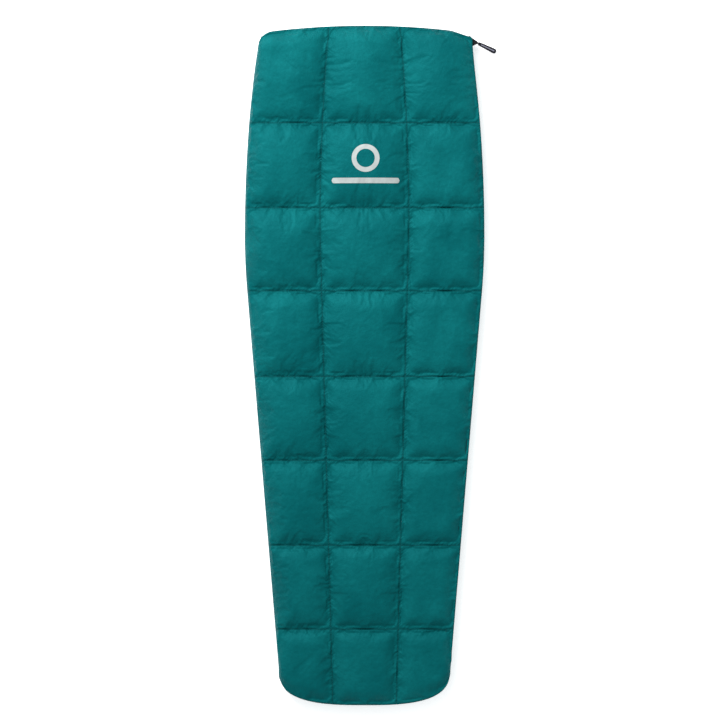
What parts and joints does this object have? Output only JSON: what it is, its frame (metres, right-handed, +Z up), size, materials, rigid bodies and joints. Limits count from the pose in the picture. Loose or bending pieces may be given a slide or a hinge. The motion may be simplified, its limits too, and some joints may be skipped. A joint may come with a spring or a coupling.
{
  "type": "camp quilt",
  "caption": "Down camp quilt lying flat, zipped into a tapered bag: two quilted layers, a side fold, and a side and foot zip with a slider and moulded pull.",
  "frame": {"origin": "on the floor under the quilt, on its centreline, under the middle of the fourth row of chambers", "axes": "+Y towards the head opening, +X towards the zipped side, +Z up out of the front layer"},
  "size_m": [0.7423, 1.9995, 0.068],
  "materials": {
    "shell_fabric": "satin",
    "liner_fabric": "satin",
    "down_fill": "matte",
    "zip_tape": "matte",
    "zip_coil": "satin",
    "slider_metal": "satin",
    "pull_rubber": "matte",
    "pull_stripe": "satin"
  },
  "bodies": {
    "back_layer": {"back_shell": "shell_fabric", "back_liner": "liner_fabric", "back_head_hem": "shell_fabric", "back_zip_facing": "shell_fabric", "back_zip_tape": "zip_tape", "back_zip_coil": "zip_coil", "back_top_stop": "slider_metal", "back_down_1": "down_fill", "back_down_2": "down_fill", "back_down_3": "down_fill", "back_down_4": "down_fill", "back_down_5": "down_fill", "back_down_6": "down_fill", "back_down_7": "down_fill", "back_down_8": "down_fill", "side_fold_shell": "shell_fabric", "side_fold_down": "down_fill", "side_fold_liner": "liner_fabric"},
    "front_layer": {"front_shell": "shell_fabric", "front_liner": "liner_fabric", "front_head_hem": "shell_fabric", "front_zip_facing": "shell_fabric", "front_zip_tape": "zip_tape", "front_zip_coil": "zip_coil", "front_top_stop": "slider_metal", "draft_tube": "liner_fabric", "front_down_1_left": "down_fill", "front_down_1_centre": "down_fill", "front_down_1_right": "down_fill", "front_down_2_left": "down_fill", "front_down_2_centre": "down_fill", "front_down_2_right": "down_fill", "front_down_3_left": "down_fill", "front_down_3_centre": "down_fill", "front_down_3_right": "down_fill", "front_down_4_left": "down_fill", "front_down_4_centre": "down_fill", "front_down_4_right": "down_fill", "front_down_5_left": "down_fill", "front_down_5_centre": "down_fill", "front_down_5_right": "down_fill", "front_down_6_left": "down_fill", "front_down_6_centre": "down_fill", "front_down_6_right": "down_fill", "front_down_7_left": "down_fill", "front_down_7_centre": "down_fill", "front_down_7_right": "down_fill", "front_down_8_left": "down_fill", "front_down_8_centre": "down_fill", "front_down_8_right": "down_fill"},
    "slider": {"zip_slider": "slider_metal"},
    "tab": {"slider_tab": "slider_metal"},
    "pull": {"pull_cord": "pull_rubber", "pull_grip": "pull_rubber", "pull_inlay": "pull_stripe"}
  },
  "joints": [
    {"name": "front_fold", "type": "hinge", "parent": "back_layer", "child": "front_layer", "pos_m": [-0.329, 0.291, 0.034], "axis": [0.037, -0.9993, 0], "range_deg": [0, 179.8], "deforming": ["side_fold_shell", "side_fold_down", "side_fold_liner"]},
    {"name": "slider_travel", "type": "hinge", "parent": "back_layer", "child": "slider", "pos_m": [-8.544, 0.359, 0.034], "axis": [0, 0, -1], "range_deg": [0, 11.6]},
    {"name": "tab_swing", "type": "hinge", "parent": "slider", "child": "tab", "pos_m": [0.31789, 0.86285, 0.034], "axis": [0, 0, 1], "range_deg": [-8, 55]},
    {"name": "pull_lift", "type": "hinge", "parent": "tab", "child": "pull", "pos_m": [0.3331, 0.85646, 0.034], "axis": [-0.3875, -0.9219, 0], "range_deg": [0, 60]}
  ]
}
